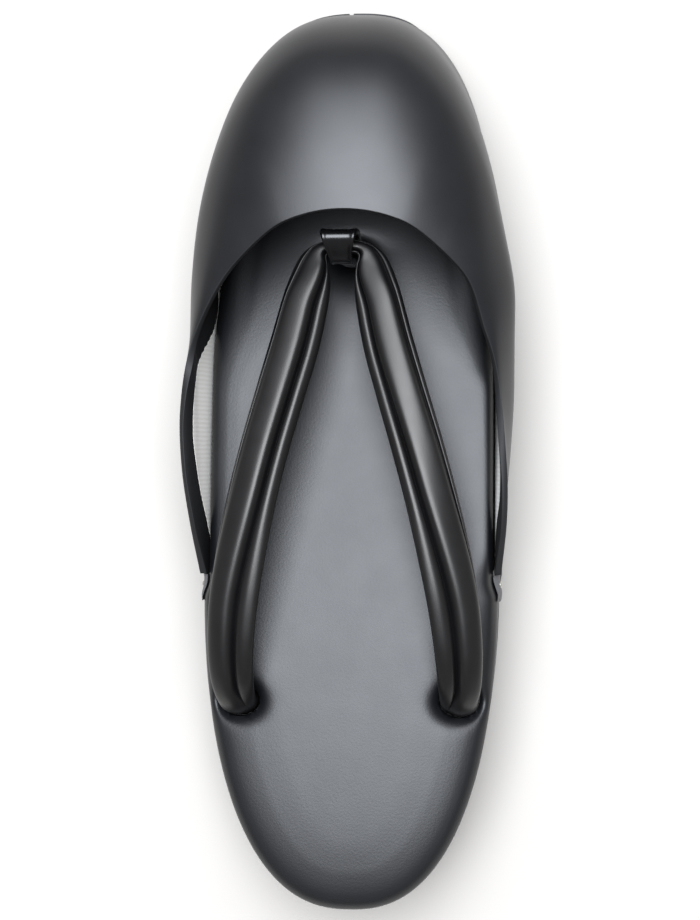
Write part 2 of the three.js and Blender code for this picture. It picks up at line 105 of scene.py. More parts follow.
# The padded crown of the footbed: how far it drops near its edge.
CROWN = {
    "inset": (0, 0.5, 2, 4, 6.5, 9.7, 12, 18, 24),
    "drop": (5.5, 4.3, 2.7, 1.75, 1.1, 0.6, 0.38, 0.08, 0),
}
CROWN_RINGS = 60
CROWN_SHRINK = 0.985
CROWN_CROWDING = 1.5
SPINE_REAR_Y = -86
SPINE_FRONT_Y = 76

# Beside the arch of the foot the crown is narrower and firmer, more so on the right.
ARCH = {
    "left": {"zone": (-78, -38, 14, 42), "narrowed": 0.56},
    "right": {"zone": (-56, -24, 14, 42), "narrowed": 0.76},
}
ARCH_RIGHT_X = 30
FIRM_SHARE = 0.62
FIRM_INSET = 1.2
SHALLOW_INSET = 2.5

# The padding pressed thinner under the toes, and drawn down by the loop round its hole.
TOE_PRESS = {"deep": 2.2, "from_y": 25, "full_y": 70}
LOOP_DRAW = {"deep": 1.9, "across": 8, "ahead": 4, "behind": 10}
PRESS_INSET = 9

# Toe cover: its grid, the roundness and sweep of its wall, the shares of its height where the
# swelling is full and where it eases off again, and its edge.
TAIL_Y = -34
COVER_COLUMNS = 240
COVER_ROWS = 64
COVER_ROUND = 3
COVER_SWEEP = 1.42
SWELL_FULL = 0.85
SWELL_EASE = {"from": 0.76, "to": 1.12, "share": 1.15}
EDGE_LAG = 0.38
EDGE_ROUND = 0.3
EDGE_TURN_POINTS = 9
BASE_STEP = 0.02
FRAME_STEP = 0.004

# The soft right wing of the cover: how far its edge leans in, how much it bulges below that
# and from how low, and the stretch of the edge that leans.
WING_FLEX = 3.6
WING_BULGE = 0.8
WING_LOW = 0.1
WING_ZONE = (-24, 14, 30, 48)

# Opening edge of the cover from the middle of the throat back to the tail, right side.
THROAT = {
    "run": (0, 0.14, 0.25, 0.36, 0.5, 0.64, 0.78, 0.9, 1),
    "x": (0, 15.2, 25.2, 33.8, 41.6, 44.6, 44.5, 42.9, 41.3),
    "y": (63, 59.9, 52.8, 43.2, 27.5, 11.5, -4.5, -20, TAIL_Y),
    "z": (62, 60.6, 57.2, 53.2, 50.2, 49.2, 47.8, 44, 36.5),
}

# How far the wall swells out, the share of its height from which it does, and how far it
# leans back at half height.
SWELL = {
    "run": (0, 0.13, 0.26, 0.4, 0.52, 0.64, 0.76, 0.88, 1),
    "out": (0.3, 1.4, 2.9, 3.9, 3.3, 1.6, 0.8, 0.5, 0.1),
    "low": (0.2, 0.2, 0.2, 0.2, 0.28, 0.45, 0.55, 0.55, 0.55),
    "back": (3.4, 2.7, 1.2, 0.3, 0, 0, 0, 0, 0),
}

# The black hem inside the opening, narrowest half way along each wing.
HEM = {
    "y": (TAIL_Y, -22.5, -8, 5, 17, 28, 64),
    "wide": (15, 13.5, 6.6, 4, 10.5, 36, 40),
}
HEM_MOST = 0.8
HEM_STEP = (0.5, -0.3)

# The lining: bonded to the wall from its base up, with its edge tucked under the hem.
LINING_ROWS = 40
LINING_FROM = 0.004
LINING_ENDS = 0.998
LINING_TUCK = 0.1
LINING_GLUE = 0.06

# Strap.
STRAP_STATIONS = 150
STRAP_CROWDING = 0.94
STRAP_LEAN = -1
STRAP_LEAN_Y = 40

# Centre line of one leg of the strap, from the middle of the front to the rear hole.
LEG = {
    "at": tuple(range(14)),
    "x": (0, 4.8, 7.8, 9.3, 12.4, 16.2, 20.2, 23.8, 26.8, 29, 30.2, 30.5, 30.2, 30),
    "y": (54.6, 54, 50.2, 42.3, 28.5, 15, 1, -13, -27, -40, -52, -61.2, -67.4, -68.8),
    "z": (46.2, 46.2, 47.2, 49.4, 52.2, 54.8, 56.9, 58, 57.7, 56.4, 53.8, 49.8, 43.4, 35),
    "wide": (4, 4.2, 8.4, 12.2, 13.6, 13.7, 13.8, 14.1, 14.6, 14.4, 13.6, 12.2, 10.6, 10.6),
    "thick": (6, 6, 6.8, 7.6, 8, 8, 8, 8, 8, 8, 7.9, 7.6, 7.4, 7.8),
    "roll": (0, 0, 2, 4, 6, 9, 13, 17, 22, 25, 25, 20, 12, 6),
}
LEG_END = LEG["at"][-1]
LEG_STEP = 0.05

# Where along a leg it is twisted, turns round for its hole, and has its seams moved or filled.
LEG_TWIST = {"right": -15, "left": 2}
TWIST_ZONE = (1, 3, 4, 8)
LEG_ROUND = (11.2, 12.6)
REAR_SEAM_SHIFT = 0.3
REAR_SEAM_ZONE = (6.6, 9.4, 11, 13)
FRONT_SEAM_SHIFT = -0.42
FRONT_SEAM_ZONE = (1.2, 2, 2.2, 3.4)
SEAM_FILL = {"right": 0, "left": 0.4}
SEAM_FILL_FADE = (9, 6)
OUTER_SEAM = {"at": 0.8, "half": 0.06}

# The strap's section, from the inner side over the top: inner roll, seam groove, flat
# panel, seam groove, lower outer roll, underside.
STRAP_SECTION = (
    (-1, -0.1), (-0.96, 0.24), (-0.81, 0.5), (-0.64, 0.54), (-0.52, 0.4), (-0.46, 0.18),
    (-0.41, 0.5), (-0.34, 0.78), (-0.22, 0.95), (-0.02, 1), (0.3, 0.95), (0.56, 0.84), (0.7, 0.68),
    (0.76, 0.42), (0.79, 0.14), (0.86, 0.28), (0.95, 0.2), (1, -0.06), (0.95, -0.38), (0.8, -0.64),
    (0.45, -0.9), (0, -1), (-0.5, -0.88), (-0.86, -0.52),
)
SECTION_FINER = 4

# Toe loop.
LOOP_WIDTH = 8
LOOP_TAPER = 0.34
LOOP_TAPER_FROM = 0.2
LOOP_SHIFT = -0.8
LOOP_BAND = 1.5
LOOP_EYE = 5.8
LOOP_SLOPE = 1
LOOP_HEADROOM = 4 * SEAT
LOOP_FOOT_CLEAR = 2
LOOP_CLOSING = 6.5
LOOP_HALF_GAP = 0.05
LOOP_BEND = 2 / 2.4
LOOP_ARCH_POINTS = 25
LOOP_LEG_POINTS = 14
LOOP_RINGS = 120
LOOP_SECTION_POINTS = 25

# Half of the loop band's section, across its width: a flat middle and rolled rims.
LOOP_SECTION = {
    "step": tuple(range(7)),
    "across": (0, 0.6, 0.8, 0.93, 1, 0.93, 0.8),
    "out": (0.5, 0.5, 0.62, 0.6, 0.1, -0.4, -0.5),
}

# Tail tabs: how far each stands out from the sole, from the rear to the cover's end.
TAB = {
    "y": (SHOULDER_REAR_Y - 0.4, SHOULDER_REAR_Y + 1.4, TAIL_Y - 2.6, TAIL_Y - SEAT),
    "out": (0.5, 0.9, 1.4, 1.6),
}
TAB_HEIGHT = 14
TAB_BELOW = 4.4
TAB_ROUND = 4
TAB_STATIONS = 16
TAB_STEPS = 10

# Tacks: a domed head, in shares of its radius and heights in millimetres.
TACK_RADIUS = 0.9
TACK_DOME = ((0, -0.3), (1, -0.3), (1, 0.1), (0.85, 0.35), (0.5, 0.52), (0, 0.58))
TACK_TURNS = 24
TACK_Y = TAIL_Y - 3
TACK_OUT = 1.35
TACK_BELOW = 9


# Curves and blends

def smooth(low, high, value):
    """Eases from 0 at low to 1 at high."""
    t = np.clip((np.asarray(value, float) - low) / (high - low), 0, 1)
    return t * t * (3 - 2 * t)


def between(zone, value):
    """1 inside a zone of four values, easing in over the first two and out over the last two."""
    return smooth(zone[0], zone[1], value) * smooth(zone[3], zone[2], value)


def mix(a, b, t):
    return a + (b - a) * t


def unit(v):
    return v / np.linalg.norm(v, axis=-1, keepdims=True)


def column(table, key, name, at, level_start=False):
    """One column of a table as a smooth curve over its key column, level at its start if asked."""
    k, p = np.array(table[key], float), np.array(table[name], float)
    slope = np.gradient(p)
    slope[1:-1] = (p[2:] - p[:-2]) / (k[2:] - k[:-2])
    slope[0] = 0 if level_start else (p[1] - p[0]) / (k[1] - k[0])
    slope[-1] = (p[-1] - p[-2]) / (k[-1] - k[-2])
    at = np.clip(np.asarray(at, float), k[0], k[-1])
    i = np.clip(np.searchsorted(k, at, side="left") - 1, 0, len(k) - 2)
    span = k[i + 1] - k[i]
    t = (at - k[i]) / span
    t2, t3 = t * t, t * t * t
    return ((2 * t3 - 3 * t2 + 1) * p[i] + (t3 - 2 * t2 + t) * span * slope[i]
            + (3 * t2 - 2 * t3) * p[i + 1] + (t3 - t2) * span * slope[i + 1])


def rounded(corners, finer):
    """A closed smooth line through a few corners, each stretch cut in finer parts."""
    p = np.array(corners, float)
    before, after, next_after = np.roll(p, 1, 0), np.roll(p, -1, 0), np.roll(p, -2, 0)
    t = (np.arange(finer) / finer)[None, :, None]
    a, b, c, d = (q[:, None] for q in (before, p, after, next_after))
    line = b + 0.5 * t * (c - a + t * (2 * a - 5 * b + 4 * c - d + t * (3 * (b - c) + d - a)))
    return line.reshape(-1, 2)


def running(points):
    """Length along a line up to each of its points."""
    return np.concatenate([[0], np.cumsum(np.linalg.norm(np.diff(points, axis=0), axis=1))])


def by_length(points, count):
    """The same line with evenly spaced points."""
    run = running(points)
    goal = np.linspace(0, run[-1], count)
    return np.stack([np.interp(goal, run, points[:, i]) for i in range(points.shape[1])], 1)


# Sole outline and heights

def sole_half(y):
    """Half width of the sole, with a rounded heel and a blunter toe."""
    y = np.asarray(y, float)
    rear = y < BROADEST_Y
    reach = np.where(rear, BROADEST_Y - HEEL_Y, SOLE_TOE_Y - BROADEST_Y)
    along = np.minimum(1, np.abs(y - BROADEST_Y) / reach)
    heel, toe = ((1 - along**sharp) ** (1 / full) for sharp, full in (HEEL_ROUND, TOE_ROUND))
    broad = mix(HEEL_HALF, FOREFOOT_HALF, smooth(SHOULDER_REAR_Y, SHOULDER_FRONT_Y, y))
    return np.where(rear, heel, toe) * broad


def sole_side():
    """The right side of the sole from heel to toe, at even steps."""
    y = mix(HEEL_Y, SOLE_TOE_Y, (1 - np.cos(np.linspace(0, math.pi, 4001))) / 2)
    return by_length(np.stack([sole_half(y), y], 1), SIDE_POINTS)


SIDE = sole_side()


def offset_side(margin):
    """The right side from heel to toe, moved outward by margin(y)."""
    go = np.gradient(SIDE, axis=0)
    out = unit(np.stack([go[:, 1], -go[:, 0]], 1))
    out[0], out[-1] = (0, -1), (0, 1)
    return SIDE + out * np.broadcast_to(margin(SIDE[:, 1]), SIDE_POINTS)[:, None]


def sole_ring(margin, height):
    """A closed ring round the sole, heel to toe on the right and back on the left."""
    right = offset_side(margin)
    plan = np.concatenate([right, right[-2:0:-1] * (-1, 1)])
    return np.column_stack([plan, height(plan[:, 1])])


def top_height(y):
    """Height of the footbed's top before its crown."""
    spring = np.clip((y - SPRING_Y) / (SOLE_TOE_Y - SPRING_Y), 0, 1)
    return mix(HEEL_HEIGHT, FORE_HEIGHT, smooth(RAMP_REAR_Y, RAMP_FRONT_Y, y)) + TOE_LIFT * spring**2


def floor_height(y):
    """Height of the underside: it rises at the toe and at the heel's bevel."""
    spring = np.clip((y - SPRING_Y) / (SOLE_TOE_Y - SPRING_Y), 0, 1)
    bevel = np.clip((HEEL_Y + HEEL_BEVEL_RUN - y) / HEEL_BEVEL_RUN, 0, 1)
    return TOE_SPRING * spring**2 + HEEL_BEVEL * bevel**2


def core_foot(y):
    """Top of the outsole, under the core."""
    return floor_height(y) + OUTSOLE_THICK


def core_top(y):
    """Top of the core, with the play under the footbed."""
    return top_height(y) - FOOTBED_THICK - SEAT


def lean(y):
    """How far the sole's upper edge leans in under the cover."""
    return TOE_LEAN * smooth(LEAN_REAR_Y, LEAN_FRONT_Y, y)


def lip_margin(y):
    """How far the outsole stands out beyond the sole's side."""
    under_cover = COVER_MARGIN * smooth(SHOULDER_REAR_Y, SHOULDER_FRONT_Y, y)
    tip = smooth(LIP_REAR_Y, LIP_FRONT_Y, y)
    return under_cover + mix(LIP_TUCK * smooth(LIP_TUCK_Y, LIP_REAR_Y, y), LIP_MARGIN, tip)


# Mesh making

def piece(name, points, faces, finish, slot=None, node=None, sharp=SHARP_DEGREES):
    """One smooth-shaded mesh that rides on the shoe, in the place of a node where one is named."""
    mesh = bpy.data.meshes.new(name)
    mesh.from_pydata((np.asarray(points) * MM).tolist(), [], [tuple(map(int, f)) for f in faces])
    mesh.materials.append(finish)
    mesh.shade_smooth()
    mesh.set_sharp_from_angle(angle=math.radians(sharp))
    made = bpy.data.objects.new(name, mesh)
    bpy.context.scene.collection.objects.link(made)
    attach(made, "root")
    if node:
        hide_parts(node)
    return made


def strips(rings, size):
    """Quads between successive closed rings of equal size."""
    faces = []
    for r in range(rings - 1):
        for i in range(size):
            a, b = r * size + i, r * size + (i + 1) % size
            faces.append((a, b, b + size, a + size))
    return faces


def flipped(faces):
    return [f[::-1] for f in faces]


def tube(rings):
    """Points and faces of a closed body along a row of equal rings, capped at both ends."""
    count, size = rings.shape[:2]
    last = (count - 1) * size
    caps = [tuple(range(size - 1, -1, -1)), tuple(range(last, last + size))]
    return rings.reshape(-1, 3), strips(count, size) + caps


def rungs(size, start, upward):
    """Rungs across a mirrored ring that starts at the heel and passes the toe half way."""
    faces = []
    for i in range(size // 2):
        ring = [i, i + 1, (size - i - 1) % size, (size - i) % size]
        ring = list(dict.fromkeys(start + k for k in ring))
        faces.append(ring if upward else ring[::-1])
    return faces


def sole_body(name, rings, finish, slot, node):
    """A closed layer of the sole from its rings, bottom to top."""
    size = len(rings[0])
    faces = strips(len(rings), size)
    faces += rungs(size, 0, False)
    faces += rungs(size, (len(rings) - 1) * size, True)
    return piece(name, np.concatenate(rings), faces, finish, slot, node)


def lathe(profile, turns=48):
    """A closed turned body from (radius, height) rows that start and end on the axis."""
    inner = profile[1:-1]
    points = [(0, 0, profile[0][1])]
    for radius, height in inner:
        for k in range(turns):
            a = 2 * math.pi * k / turns
            points.append((radius * math.cos(a), radius * math.sin(a), height))
    points.append((0, 0, profile[-1][1]))
    faces = [tuple(1 + i for i in f) for f in strips(len(inner), turns)]
    last, top = 1 + (len(inner) - 1) * turns, len(points) - 1
    for k in range(turns):
        faces.append((0, 1 + (k + 1) % turns, 1 + k))
        faces.append((top, last + k, last + (k + 1) % turns))
    return np.array(points), faces


def prism(outline, low, high):
    """A straight closed body over a small outline of (x, y) points, counter-clockwise."""
    n = len(outline)
    points = [(x, y, low) for x, y in outline] + [(x, y, high) for x, y in outline]
    faces = [(i, (i + 1) % n, n + (i + 1) % n, n + i) for i in range(n)]
    return np.array(points, float), faces + [tuple(range(n - 1, -1, -1)), tuple(range(n, 2 * n))]


def cut(body, cutters):
    """Cuts closed (points, faces) shapes out of a piece and keeps its shading."""
    for points, faces in cutters:
        mesh = bpy.data.meshes.new("cutter")
        mesh.from_pydata((points * MM).tolist(), [], faces)
        tool = bpy.data.objects.new("cutter", mesh)
        bpy.context.scene.collection.objects.link(tool)
        trim = body.modifiers.new("hole", "BOOLEAN")
        trim.operation, trim.solver, trim.object = "DIFFERENCE", "EXACT", tool
        bpy.context.view_layer.update()
        shown = body.evaluated_get(bpy.context.evaluated_depsgraph_get())
        done = bpy.data.meshes.new_from_object(shown)
        body.modifiers.clear()
        body.data = done
        bpy.data.objects.remove(tool)
    body.data.shade_smooth()
    body.data.set_sharp_from_angle(angle=math.radians(SHARP_DEGREES))


# Finishes

def srgb(code):
    """An sRGB hex colour as linear RGBA."""
    channels = [int(code[i:i + 2], 16) / 255 for i in (1, 3, 5)]
    return [c / 12.92 if c <= 0.04045 else ((c + 0.055) / 1.055) ** 2.4 for c in channels] + [1.0]


def add(tree, kind, settings=(), inputs=()):
    """Adds one node; an input given as a socket is linked, any other is set."""
    node = tree.nodes.new(kind)
    for name, value in dict(settings).items():
        setattr(node, name, value)
    for name, value in dict(inputs).items():
        if isinstance(value, bpy.types.NodeSocket):
            tree.links.new(value, node.inputs[name])
        else:
            node.inputs[name].default_value = value
    return node


def per_metre(size_mm):
    """Texture scale for a pattern that repeats about every size_mm."""
    return 1 / (size_mm * MM)


def bare_finish(name):
    """A material without nodes, its node tree, and the place on the piece that patterns follow."""
    material = bpy.data.materials.new(name)
    material.use_nodes = True
    tree = material.node_tree
    tree.nodes.clear()
    return material, tree, add(tree, "ShaderNodeTexCoord").outputs["Object"]


def moulded_finish(name, dark, light, rough, grain_mm, relief_mm, patch_mm, ior, others=()):
    """A smooth sheet or moulding: two near tones, uneven gloss and a fine grain."""
    material, tree, place = bare_finish(name)
    patches = add(tree, "ShaderNodeTexNoise", inputs={
        "Vector": place, "Scale": per_metre(patch_mm), "Detail": 3.0, "Roughness": 0.55})
    grain = add(tree, "ShaderNodeTexNoise", inputs={
        "Vector": place, "Scale": per_metre(grain_mm), "Detail": 2.0, "Roughness": 0.6})
    tone = add(tree, "ShaderNodeMix", {"data_type": "RGBA"}, {
        "Factor": patches.outputs["Fac"], "A": srgb(dark), "B": srgb(light)})
    gloss = add(tree, "ShaderNodeMapRange", inputs={
        "Value": patches.outputs["Fac"], "From Min": 0.3, "From Max": 0.7,
        "To Min": rough[0], "To Max": rough[1]})
    relief = add(tree, "ShaderNodeBump", inputs={
        "Height": grain.outputs["Fac"], "Strength": 1.0, "Distance": relief_mm * MM})
    shader = add(tree, "ShaderNodeBsdfPrincipled", inputs={
        "Base Color": tone.outputs["Result"], "Roughness": gloss.outputs["Result"],
        "IOR": ior, "Normal": relief.outputs["Normal"], **dict(others)})
    add(tree, "ShaderNodeOutputMaterial", inputs={"Surface": shader.outputs["BSDF"]})
    return material


# The grain of the vinyls, the synthetic leather and the rubber is drawn at 0.5 to 0.7 mm,
# coarser than the real one, so that it shows.

# Moulded soft PVC with a satin skin: broad soft highlights and a faint fine grain.
cover_vinyl = moulded_finish(
    "satin_pvc_moulded", "#0d0d0f", "#111215", rough=(0.37, 0.41),
    grain_mm=0.5, relief_mm=0.014, patch_mm=14, ior=1.53)

# The same PVC where it leaves the core of the mould, and at its cut edge: matt, and painted darker as shade
# inside the hood.
shaded_inner_vinyl = moulded_finish(
    "matt_pvc_painted_shade", "#0b0b0c", "#0f0f11", rough=(0.62, 0.7),
    grain_mm=0.5, relief_mm=0.02, patch_mm=10, ior=1.5)

# Synthetic leather sheet, roller grained: an even satin with a grey bloom.
footbed_leather = moulded_finish(
    "synthetic_leather_satin", "#0c0d0f", "#0f1013", rough=(0.42, 0.44),
    grain_mm=0.6, relief_mm=0.03, patch_mm=9, ior=1.52)

# Calendered PVC sheet over soft padding: narrow highlights along its rolls, a warmer black.
strap_vinyl = moulded_finish(
    "calendered_pvc_strap", "#09090a", "#0c0c0e", rough=(0.36, 0.4),
    grain_mm=0.5, relief_mm=0.01, patch_mm=8, ior=1.53,
    others={"Specular Tint": srgb("#fffcf7")})

# The same sheet drawn tight round the loop, painted darker than the strap as shade under the hood: a thin
# bright line on its ridge, else dark.
shaded_loop_vinyl = moulded_finish(
    "calendered_pvc_loop_painted_shade", "#070708", "#0a0a0b", rough=(0.25, 0.29),
    grain_mm=0.5, relief_mm=0.006, patch_mm=6, ior=1.5)

# Calendered PVC sheet glued round the foam core of the sole: an even satin black.
side_vinyl = moulded_finish(
    "calendered_pvc_side", "#0c0c0e", "#111114", rough=(0.38, 0.46),
    grain_mm=0.6, relief_mm=0.01, patch_mm=11, ior=1.53)

# Moulded black rubber: duller, with a slightly dusty skin.
outsole_rubber = moulded_finish(
    "moulded_rubber_sole", "#101011", "#18181a", rough=(0.45, 0.6),
    grain_mm=0.7, relief_mm=0.015, patch_mm=7, ior=1.52)

# PVC painted pale grey as a reflection of light on the sole's glossy side behind the cover's tail: paler and
# duller than its skin.
tab_vinyl = moulded_finish(
    "pale_grey_painted_reflection", "#48484b", "#5c5c5f", rough=(0.5, 0.6),
    grain_mm=0.5, relief_mm=0.02, patch_mm=3, ior=1.53)

# Matt pale grey paint, rolled on the studio floor: an even ground that takes a soft shadow.
floor_paint = moulded_finish(
    "matt_pale_grey_paint", "#b7b3ad", "#bbb7b1", rough=(0.8, 0.85),
    grain_mm=2, relief_mm=0.002, patch_mm=60, ior=1.4)

# A wave texture of scale 1 repeats every tau / 20 of a metre.
WAVE_REPEAT = math.tau / 20
RIB_MM = 1.2
FUZZ_MM = 0.4


def ribbed_lining():
    """Off-white brushed cotton rib: soft, matt, with fine lines up the wall.

    The fuzz is drawn far coarser than real fibres, so that it shows.
    """
    material, tree, place = bare_finish("brushed_cotton_rib")
    ribs = add(tree, "ShaderNodeTexWave", {"wave_type": "BANDS", "bands_direction": "Y"}, {
        "Vector": place, "Scale": per_metre(RIB_MM) * WAVE_REPEAT, "Distortion": 0.6, "Detail": 1.0})
    fuzz = add(tree, "ShaderNodeTexNoise", inputs={
        "Vector": place, "Scale": per_metre(FUZZ_MM), "Detail": 3.0})
    tone = add(tree, "ShaderNodeMix", {"data_type": "RGBA"}, {
        "Factor": ribs.outputs["Fac"], "A": srgb("#f4efe4"), "B": srgb("#fffbf1")})
    height = add(tree, "ShaderNodeMath", {"operation": "ADD"}, {
        0: ribs.outputs["Fac"], 1: fuzz.outputs["Fac"]})
    relief = add(tree, "ShaderNodeBump", inputs={
        "Height": height.outputs["Value"], "Strength": 1.0, "Distance": 0.02 * MM})
    shader = add(tree, "ShaderNodeBsdfPrincipled", inputs={
        "Base Color": tone.outputs["Result"], "Roughness": 0.85, "IOR": 1.5,
        "Sheen Weight": 0.25, "Sheen Roughness": 0.5, "Normal": relief.outputs["Normal"]})
    add(tree, "ShaderNodeOutputMaterial", inputs={"Surface": shader.outputs["BSDF"]})
    return material


WEAR_MM = 0.5


def nickel_tack():
    """Nickel plated steel, tumbled: bright with slight wear."""
    material, tree, place = bare_finish("nickel_plated_steel")
    wear = add(tree, "ShaderNodeTexNoise", inputs={
        "Vector": place, "Scale": per_metre(WEAR_MM), "Detail": 2.0})
    gloss = add(tree, "ShaderNodeMapRange", inputs={
        "Value": wear.outputs["Fac"], "To Min": 0.2, "To Max": 0.4})
    shader = add(tree, "ShaderNodeBsdfPrincipled", inputs={
        "Base Color": srgb("#cfcdc6"), "Metallic": 1.0, "Roughness": gloss.outputs["Result"]})
    add(tree, "ShaderNodeOutputMaterial", inputs={"Surface": shader.outputs["BSDF"]})
    return material


lining_cloth = ribbed_lining()
tack_metal = nickel_tack()


# Outsole, platform and footbed

def make_outsole():
    """The rubber sheet with its lip, notched at the toe."""
    rings = []
    for inset, rise in OUTSOLE_RINGS:
        rings.append(sole_ring(lambda y: lip_margin(y) - inset, lambda y: floor_height(y) + rise))
    body = sole_body("outsole_sheet", rings, outsole_rubber, "outsole_rubber", "outsole")
    tip = SOLE_TOE_Y + COVER_MARGIN + LIP_MARGIN
    x, half, mouth = NOTCH["x"], NOTCH["half"], tip + NOTCH["past"]
    outline = [(x, tip - NOTCH["deep"]), (x + half, mouth), (x - half, mouth)]
    cut(body, [prism(outline, NOTCH["low"], NOTCH["high"])])
    return body


def hole_cutters():
    """Oval sockets for the strap and the loop."""
    cutters = []
    for hole, side in HOLES:
        depth = hole["depth"]
        points, faces = lathe([(0, -depth), (1, -depth), (1, CUT_ABOVE), (0, CUT_ABOVE)])
        points = points * (hole["across"], hole["along"], 1)
        cutters.append((points + (side * hole["x"], hole["y"], top_height(hole["y"])), faces))
    return cutters


def make_platform():
    """The wrapped core, with soft edges below and above and its toe end leaning in."""
    # Each ring's inset, its share of the lean, and its height.
    rows = (
        (0.9, 0, lambda y: core_foot(y) + SEAT),
        (0.3, 0, lambda y: core_foot(y) + SEAT + 0.25),
        (0.1, 0, lambda y: core_foot(y) + SEAT + 0.8),
        (0, 0.4, lambda y: mix(core_foot(y), top_height(y), 0.4)),
        (0.15, 0.56, lambda y: mix(core_foot(y), top_height(y), 0.58)),
        (0.4, 0.7, lambda y: core_top(y) - 0.7),
        (0.7, 0.7, lambda y: core_top(y) - 0.2),
        (1.2, 0.7, core_top),
    )
    rings = []
    for inset, share, height in rows:
        rings.append(sole_ring(lambda y: -inset - share * lean(y), height))
    body = sole_body("platform_core", rings, side_vinyl, "side_vinyl", "platform")
    cut(body, hole_cutters())
    return body


def from_line(points, ring):
    """Distance of each point from a closed line."""
    a, b = ring[None], np.roll(ring, -1, 0)[None]
    along = b - a
    t = ((points[:, None] - a) * along).sum(2) / (along**2).sum(2)
    return np.linalg.norm(points[:, None] - a - np.clip(t, 0, 1)[..., None] * along, axis=2).min(1)


def hole_pull(x, y):
    """How far the sheet is pulled down round the strap holes."""
    pull = np.zeros_like(x)
    for hole, side in HOLES:
        away = np.hypot((x - side * hole["x"]) / hole["across"], (y - hole["y"]) / hole["along"])
        mean = (hole["across"] + hole["along"]) / 2
        here = hole["pull"] * np.exp(-np.maximum(0, away - 1) * mean / hole["reach"])
        pull = np.maximum(pull, here)
    return pull


def crown_width(x, y):
    """The crown falls off in a narrower band beside the arch of the foot, most so on the right."""
    right = smooth(0, ARCH_RIGHT_X, x)
    narrowed = mix(ARCH["left"]["narrowed"], ARCH["right"]["narrowed"], right)
    return 1 - narrowed * mix(between(ARCH["left"]["zone"], y), between(ARCH["right"]["zone"], y), right)


def toe_press(x, y, inset):
    """The padding is pressed thinner under the toes, and drawn down by the loop round its hole."""
    past = y - FRONT_HOLE["y"]
    reach = np.where(past > 0, LOOP_DRAW["ahead"], LOOP_DRAW["behind"])
    drawn = LOOP_DRAW["deep"] * np.exp(-(x / LOOP_DRAW["across"]) ** 2 - (past / reach) ** 2)
    pressed = TOE_PRESS["deep"] * smooth(TOE_PRESS["from_y"], TOE_PRESS["full_y"], y)
    return (pressed + drawn) * smooth(0, PRESS_INSET, inset)


def crown_drop(x, y, inset):
    """How far the crown lies below its full height."""
    narrow = crown_width(x, y)
    loose, tight = 1 - ARCH["left"]["narrowed"], 1 - ARCH["right"]["narrowed"]
    firm = smooth(loose, tight, narrow) * smooth(0, FIRM_INSET, inset)
    shallow = mix(1, (1 + narrow) / 2, smooth(0, SHALLOW_INSET, inset))
    return column(CROWN, "inset", "drop", inset / narrow) * shallow * (1 - FIRM_SHARE * firm)


def make_footbed():
    """Edge rings as in the solid, then a crown that shrinks towards a line along the middle."""
    rings = []
    for inset, rise in FOOTBED_RINGS:
        rings.append(sole_ring(lambda y: -inset - lean(y), lambda y: top_height(y) - (FOOTBED_THICK - rise)))
    rim = sole_ring(lambda y: -RIM_INSET - lean(y), top_height)[:, :2]
    spine_y = np.clip(rim[:, 1], SPINE_REAR_Y, SPINE_FRONT_Y)
    for t in np.linspace(0, 1, CROWN_RINGS):
        keep = 1 - CROWN_SHRINK * t**CROWN_CROWDING
        x, y = rim[:, 0] * keep, mix(spine_y, rim[:, 1], keep)
        inset = from_line(np.stack([x, y], 1), rim)
        height = top_height(y) - crown_drop(x, y, inset) - toe_press(x, y, inset) - hole_pull(x, y)
        rings.append(np.column_stack([x, y, height]))
    body = sole_body("footbed_pad", rings, footbed_leather, "footbed_sheet", "footbed")
    cut(body, hole_cutters())
    return body


# Toe cover and its lining

def cover_base():
    """Base line of the cover on the lip, right side, toe to tail, with its running length."""
    right = offset_side(lambda y: COVER_MARGIN)[::-1]
    keep = right[right[:, 1] > TAIL_Y]
    after = right[len(keep)]
    t = (TAIL_Y - keep[-1, 1]) / (after[1] - keep[-1, 1])
    line = np.vstack([keep, mix(keep[-1], after, t)])
    run = running(line)
    return line, run / run[-1]


BASE_LINE, BASE_RUN = cover_base()
COVER_S = np.linspace(-1, 1, COVER_COLUMNS + 1)
COVER_V = np.linspace(0, 1, COVER_ROWS + 1)


def base_at(run):
    """Place on the cover's base line at a share of its length."""
    return np.stack([np.interp(run, BASE_RUN, BASE_LINE[:, i]) for i in (0, 1)], -1)


def cover_point(s, v):
    """Outer face: s from -1 (left tail) over 0 (toe) to 1, v from base to opening edge."""
    run, side = np.abs(s), np.where(s < 0, -1.0, 1.0)
    base = base_at(run)
    edge_run = mix(run, run * run, EDGE_LAG)
    edge = [column(THROAT, "run", n, edge_run, n != "x") for n in "xyz"]
    flex = WING_FLEX * (side > 0) * between(WING_ZONE, edge[1])
    go = base_at(np.minimum(1, run + BASE_STEP)) - base_at(np.maximum(0, run - BASE_STEP))
    out = unit(np.stack([-go[..., 1], go[..., 0]], -1))
    out = np.where((run < BASE_STEP)[..., None], np.array([0.0, 1.0]), out)
    power = 2 / COVER_ROUND
    arc = v * COVER_SWEEP
    over = (1 - np.cos(arc) ** power) / (1 - math.cos(COVER_SWEEP) ** power)
    up = (np.sin(arc) / math.sin(COVER_SWEEP)) ** power
    base_z = core_foot(np.minimum(base[..., 1], SOLE_TOE_Y)) + SEAT
    out_by, low, back_by = (column(SWELL, "run", n, run, True) for n in ("out", "low", "back"))
    low = mix(low, WING_LOW, flex / WING_FLEX)
    eased = 1 - SWELL_EASE["share"] * smooth(SWELL_EASE["from"], SWELL_EASE["to"], up)
    swell = (out_by + WING_BULGE * flex) * smooth(0, 1, (up - low) / (SWELL_FULL - low)) * eased
    swell = swell - back_by * np.sin(math.pi * up)
    return np.stack([
        side * (mix(base[..., 0], edge[0] - flex, over) + out[..., 0] * swell),
        mix(base[..., 1], edge[1], over) + out[..., 1] * swell,
        mix(base_z, edge[2], up),
    ], -1)


